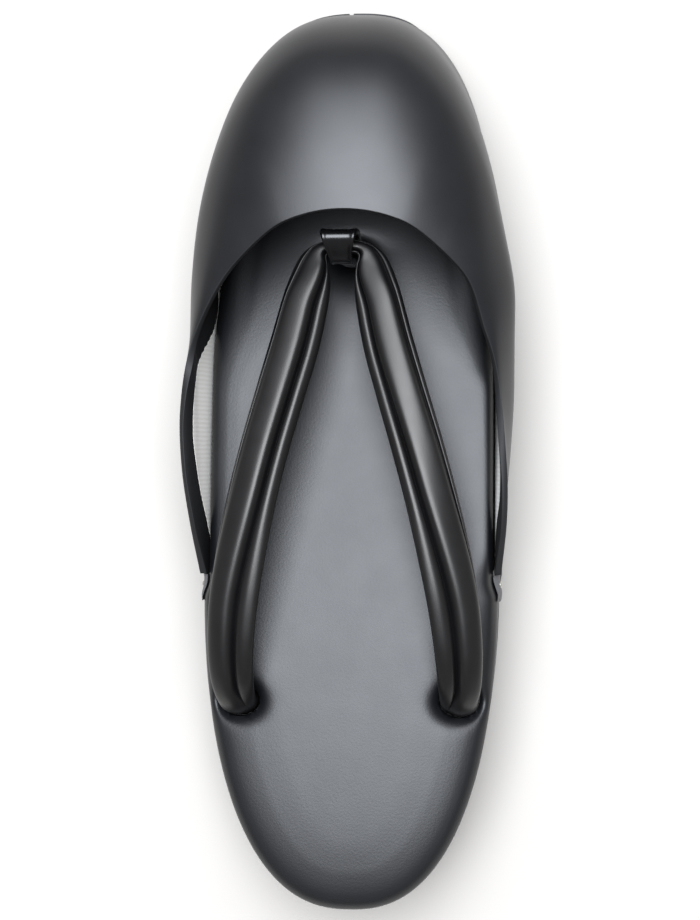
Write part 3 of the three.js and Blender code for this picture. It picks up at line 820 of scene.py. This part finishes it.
def cover_frame(s, v):
    """Outer point, inward normal and rising tangent at each place of the cover."""
    along = cover_point(np.minimum(1, s + FRAME_STEP), v) - cover_point(np.maximum(-1, s - FRAME_STEP), v)
    rise = cover_point(s, np.minimum(1, v + FRAME_STEP)) - cover_point(s, np.maximum(0, v - FRAME_STEP))
    inward = np.cross(along, rise)
    inward[..., 2] = np.where(v <= 0, 0, inward[..., 2])
    inward[..., 1] = np.where(np.abs(s) >= 1, 0, inward[..., 1])
    return cover_point(s, v), unit(inward), unit(rise)


def make_cover():
    """The hood with its edge turned in as a hem; gives what the lining needs to end under it."""
    point, inward, rise = cover_frame(*np.meshgrid(COVER_S, COVER_V, indexing="ij"))
    from_edge = np.linalg.norm(np.diff(point, axis=1), axis=2)[:, ::-1].cumsum(1)[:, ::-1]
    from_edge = np.concatenate([from_edge, np.zeros((len(COVER_S), 1))], 1)
    hem_at = np.minimum(column(HEM, "y", "wide", point[:, -1, 1]), HEM_MOST * from_edge[:, 0])
    hem = smooth(*HEM_STEP, from_edge - hem_at[:, None])
    inner = point + inward * mix(WALL - LINING_THICK, WALL, hem)[..., None]
    turn = np.linspace(0, math.pi, EDGE_TURN_POINTS)[1:-1]
    roll_in = (WALL / 2 * (1 - np.cos(turn)))[None, :, None]
    roll_up = (EDGE_ROUND * np.sin(turn))[None, :, None]
    roll = point[:, -1:] + inward[:, -1:] * roll_in + rise[:, -1:] * roll_up
    section = np.concatenate([point, roll, inner[:, ::-1]], 1)
    cover = piece("toe_cover_hood", *tube(section), cover_vinyl, "cover_vinyl", "toe_cover", sharp=25)
    # The rolled edge, the inside and the foot of the wall are matt and painted darker as shade; the ends
    # keep the satin skin.
    cover.data.materials.append(shaded_inner_vinyl)
    around = section.shape[1]
    ends_from = COVER_COLUMNS * around
    for face in cover.data.polygons:
        if face.index < ends_from and face.index % around >= COVER_ROWS:
            face.material_index = 1
    return from_edge, hem_at


def make_lining(from_edge, hem_at):
    """The cotton sheet bonded to the inside of the cover, from its base to under the hem."""
    hem_v = np.array([np.interp(LINING_TUCK - h, -d, COVER_V) for h, d in zip(hem_at, from_edge)])
    share = np.linspace(LINING_FROM, 1, LINING_ROWS)
    lining_s = np.repeat(COVER_S[:, None] * LINING_ENDS, LINING_ROWS, 1)
    face, into, _ = cover_frame(lining_s, share[None, :] * hem_v[:, None])
    back = face + into * (WALL - LINING_THICK + LINING_GLUE)
    front = face + into * WALL
    section = np.concatenate([back, front[:, ::-1]], 1)
    lining = piece("cover_lining", *tube(section), lining_cloth, "lining_cloth")
    return lining


# Strap and toe loop

def leg_place(at):
    """Middle of a leg at its stations."""
    return np.stack([column(LEG, "at", n, at) for n in "xyz"], 1)


def strap_rings(at, word):
    """Rings of one leg, drawn on the right, each from the inner side over the top."""
    place = leg_place(at)
    go = leg_place(np.minimum(LEG_END, at + LEG_STEP)) - leg_place(np.maximum(0, at - LEG_STEP))
    go[0] = (1, 0, 0)
    go = unit(go)
    outward = unit(np.stack([-go[:, 1], go[:, 0], 0 * at], 1))
    up = -np.cross(outward, go)
    turned = LEG_TWIST[word] * between(TWIST_ZONE, at)
    roll = np.radians(column(LEG, "at", "roll", at) + turned)[:, None]
    across = outward * np.cos(roll) - up * np.sin(roll)
    rise = up * np.cos(roll) + outward * np.sin(roll)
    section = rounded(STRAP_SECTION, SECTION_FINER)[::-1]
    ring = mix(section[None], unit(section)[None], smooth(*LEG_ROUND, at)[:, None, None])
    shift = REAR_SEAM_SHIFT * between(REAR_SEAM_ZONE, at) + FRONT_SEAM_SHIFT * between(FRONT_SEAM_ZONE, at)
    side = ring[..., 0] + shift[:, None] * (1 - ring[..., 0] ** 2)
    groove = np.exp(-((ring[..., 0] - OUTER_SEAM["at"]) / OUTER_SEAM["half"]) ** 2) * (ring[..., 1] > 0)
    rise_by = ring[..., 1] + SEAM_FILL[word] * smooth(*SEAM_FILL_FADE, at)[:, None] * groove
    wide, thick = column(LEG, "at", "wide", at) / 2, column(LEG, "at", "thick", at) / 2
    rings = (place[:, None] + across[:, None] * (wide[:, None] * side)[..., None]
             + rise[:, None] * (thick[:, None] * rise_by)[..., None])
    leaned = STRAP_LEAN * smooth(REAR_HOLE["y"], STRAP_LEAN_Y, place[:, 1])
    rings[..., 0] += leaned[:, None] * (1 if word == "right" else -1)
    return rings


def make_strap():
    """Both legs in one closed body; at the front the whole strap leans a little to the left."""
    at = LEG_END * np.linspace(0, 1, STRAP_STATIONS) ** STRAP_CROWDING
    right = strap_rings(at, "right")
    left = strap_rings(at, "left") * (-1, 1, 1)
    rings = np.concatenate([left[:0:-1], right])
    strap = piece("strap_padded", *tube(rings), strap_vinyl, "strap_vinyl", "hanao_strap", sharp=60)
    return strap


def loop_path():
    """Middle of the loop's band in (y from the strap's front, z): up in front, over, down behind."""
    apex_z, apex_thick = LEG["z"][0], LEG["thick"][0]
    half_eye, mid = LOOP_EYE / 2, LOOP_BAND / 2
    eye_top = apex_z + apex_thick / 2 + LOOP_HEADROOM
    eye_foot = apex_z - apex_thick / 2 - SEAT
    deck = float(top_height(LEG["y"][0]))
    foot = deck - FRONT_HOLE["depth"] + LOOP_FOOT_CLEAR
    arch = np.linspace(0, math.pi, LOOP_ARCH_POINTS)
    over_y = (half_eye + mid) * np.sign(np.cos(arch)) * np.abs(np.cos(arch)) ** LOOP_BEND
    over_z = eye_top - half_eye + (half_eye + mid + LOOP_SLOPE * over_y) * np.sin(arch) ** LOOP_BEND
    ease = np.linspace(0, 1, LOOP_LEG_POINTS)
    rise_y = mix(mid + LOOP_HALF_GAP, half_eye + mid, smooth(0, 1, ease))
    rise_z = mix(eye_foot - LOOP_CLOSING, eye_foot, ease)
    front = np.concatenate([[[mid + LOOP_HALF_GAP, foot]], np.stack([rise_y, rise_z], 1)])
    back = front[::-1] * (-1, 1)
    path = by_length(np.concatenate([front, np.stack([over_y, over_z], 1), back]), LOOP_RINGS)
    risen = np.clip((path[:, 1] - deck) / (eye_top - deck), 0, 1)
    return path, risen


def make_loop():
    """A band bent over the front of the strap, its two ends pressed together in the hole."""
    path, risen = loop_path()
    go = unit(np.gradient(path, axis=0))
    out = np.stack([go[:, 1], -go[:, 0]], 1)
    step = np.linspace(0, LOOP_SECTION["step"][-1], LOOP_SECTION_POINTS)
    half = np.stack([column(LOOP_SECTION, "step", n, step) for n in ("across", "out")], 1)
    ring = np.concatenate([half, half[:0:-1] * (-1, 1)])
    forward = path[:, 0] / (LOOP_EYE / 2 + LOOP_BAND)
    broad = 1 + LOOP_TAPER * forward * smooth(LOOP_TAPER_FROM, 1, risen)
    leaned = (STRAP_LEAN + LOOP_SHIFT) * risen
    x = ring[None, :, 0] * (LOOP_WIDTH / 2 * broad)[:, None] + leaned[:, None]
    lift = ring[None, :, 1] * LOOP_BAND
    y = path[:, None, 0] + out[:, None, 0] * lift + LEG["y"][0]
    z = path[:, None, 1] + out[:, None, 1] * lift
    points, faces = tube(np.stack([x, y, z], 2))
    return piece("toe_loop_band", points, flipped(faces), shaded_loop_vinyl, "strap_vinyl", "toe_loop", sharp=60)


# Tail tabs and their tacks

def make_tab(side, word):
    """A thin wedge of vinyl, painted pale grey as a reflection, in the notch behind one end of the cover."""
    y = np.linspace(TAB["y"][0], TAB["y"][-1], TAB_STATIONS)[:, None]
    out = np.interp(y, TAB["y"], TAB["out"])
    inner = sole_half(y) + SEAT
    high = top_height(y) - TAB_BELOW
    low = high - TAB_HEIGHT
    t = np.linspace(0, 1, TAB_STEPS)[None]
    full = np.minimum(1, TAB_ROUND * (1 - t)) ** 0.5
    face = np.stack([inner + out * full, y + 0 * t, mix(low, high, t)], 2)
    back = np.stack([inner + 0 * t, y + 0 * t, mix(high, low, t)], 2)[:, 1:]
    points, faces = tube(np.concatenate([face, back], 1) * (side, 1, 1))
    if side > 0:
        faces = flipped(faces)
    return piece(f"tail_fold_{word}", points, faces, tab_vinyl, "tab_vinyl", f"tail_tab_{word}", sharp=50)


def make_tack(side, word):
    """A small domed tack head on the tab."""
    points, faces = lathe([(share * TACK_RADIUS, height) for share, height in TACK_DOME], TACK_TURNS)
    turned = np.stack([points[:, 2], points[:, 1], -points[:, 0]], 1)
    turned += (float(sole_half(TACK_Y)) + SEAT + TACK_OUT, TACK_Y, float(top_height(TACK_Y)) - TACK_BELOW)
    turned[:, 0] *= side
    if side < 0:
        faces = flipped(faces)
    return piece(f"tail_tack_{word}", turned, faces, tack_metal)


make_outsole()
make_platform()
make_footbed()
make_lining(*make_cover())
make_strap()
make_loop()
for side, word in ((1, "right"), (-1, "left")):
    make_tab(side, word)
    make_tack(side, word)


# Floor, light and camera

FLOOR_HALF = 4000
FLOOR_CORNERS = ((-1, -1), (1, -1), (1, 1), (-1, 1))
floor_mesh = bpy.data.meshes.new("studio_floor")
floor_mesh.from_pydata(
    [(x * FLOOR_HALF * MM, y * FLOOR_HALF * MM, 0) for x, y in FLOOR_CORNERS], [], [(0, 1, 2, 3)])
floor_mesh.materials.append(floor_paint)
studio_floor = bpy.data.objects.new("studio_floor", floor_mesh)
bpy.context.scene.collection.objects.link(studio_floor)

# Two softboxes in a row overhead, the weaker one towards the toe, both a little cool.
SOFTBOX_HEIGHT = 2200
SOFTBOX_TINT = "#f2f7ff"
SOFTBOXES = (
    {"name": "overhead_softbox", "rear_y": -480, "front_y": 950, "wide": 1480, "radiance": 14.1},
    {"name": "front_softbox", "rear_y": 950, "front_y": 2400, "wide": 1260, "radiance": 8.9},
)
for row in SOFTBOXES:
    softbox = bpy.data.lights.new(row["name"], "AREA")
    softbox.shape = "RECTANGLE"
    softbox.size = row["wide"] * MM
    softbox.size_y = (row["front_y"] - row["rear_y"]) * MM
    softbox.color = srgb(SOFTBOX_TINT)[:3]
    softbox.energy = row["radiance"] * math.pi * softbox.size * softbox.size_y
    stand = bpy.data.objects.new(row["name"], softbox)
    stand.location = (0, (row["front_y"] + row["rear_y"]) / 2 * MM, SOFTBOX_HEIGHT * MM)
    bpy.context.scene.collection.objects.link(stand)

# A dim grey room fills in the shadows.
ROOM_GREY = (0.3, 0.3, 0.305, 1)
room = bpy.data.worlds.new("grey_studio")
room.use_nodes = True
room.node_tree.nodes["Background"].inputs["Color"].default_value = ROOM_GREY
room.node_tree.nodes["Background"].inputs["Strength"].default_value = 1.0
bpy.context.scene.world = room
bpy.context.scene.view_settings.view_transform = "Standard"

# The lens hangs high over the shoe's right edge and looks at its middle line.
IMAGE_LONG_SIDE = 920
FOCAL_PIXELS = 2056
SENSOR = 36
CAMERA_PLACE = (46.5, -3.3, 597)
CAMERA_AIM = (0, -2.8, 36)
camera = bpy.data.cameras.new("camera")
camera.sensor_width = SENSOR
camera.lens = FOCAL_PIXELS / IMAGE_LONG_SIDE * SENSOR
camera_stand = bpy.data.objects.new("camera", camera)
eye, aim = Vector(CAMERA_PLACE) * MM, Vector(CAMERA_AIM) * MM
back = (eye - aim).normalized()
right = Vector((0, 1, 0)).cross(back).normalized()
upward = back.cross(right)
camera_stand.matrix_world = Matrix((
    (right.x, upward.x, back.x, eye.x),
    (right.y, upward.y, back.y, eye.y),
    (right.z, upward.z, back.z, eye.z),
    (0, 0, 0, 1),
))
bpy.context.scene.collection.objects.link(camera_stand)
bpy.context.scene.camera = camera_stand
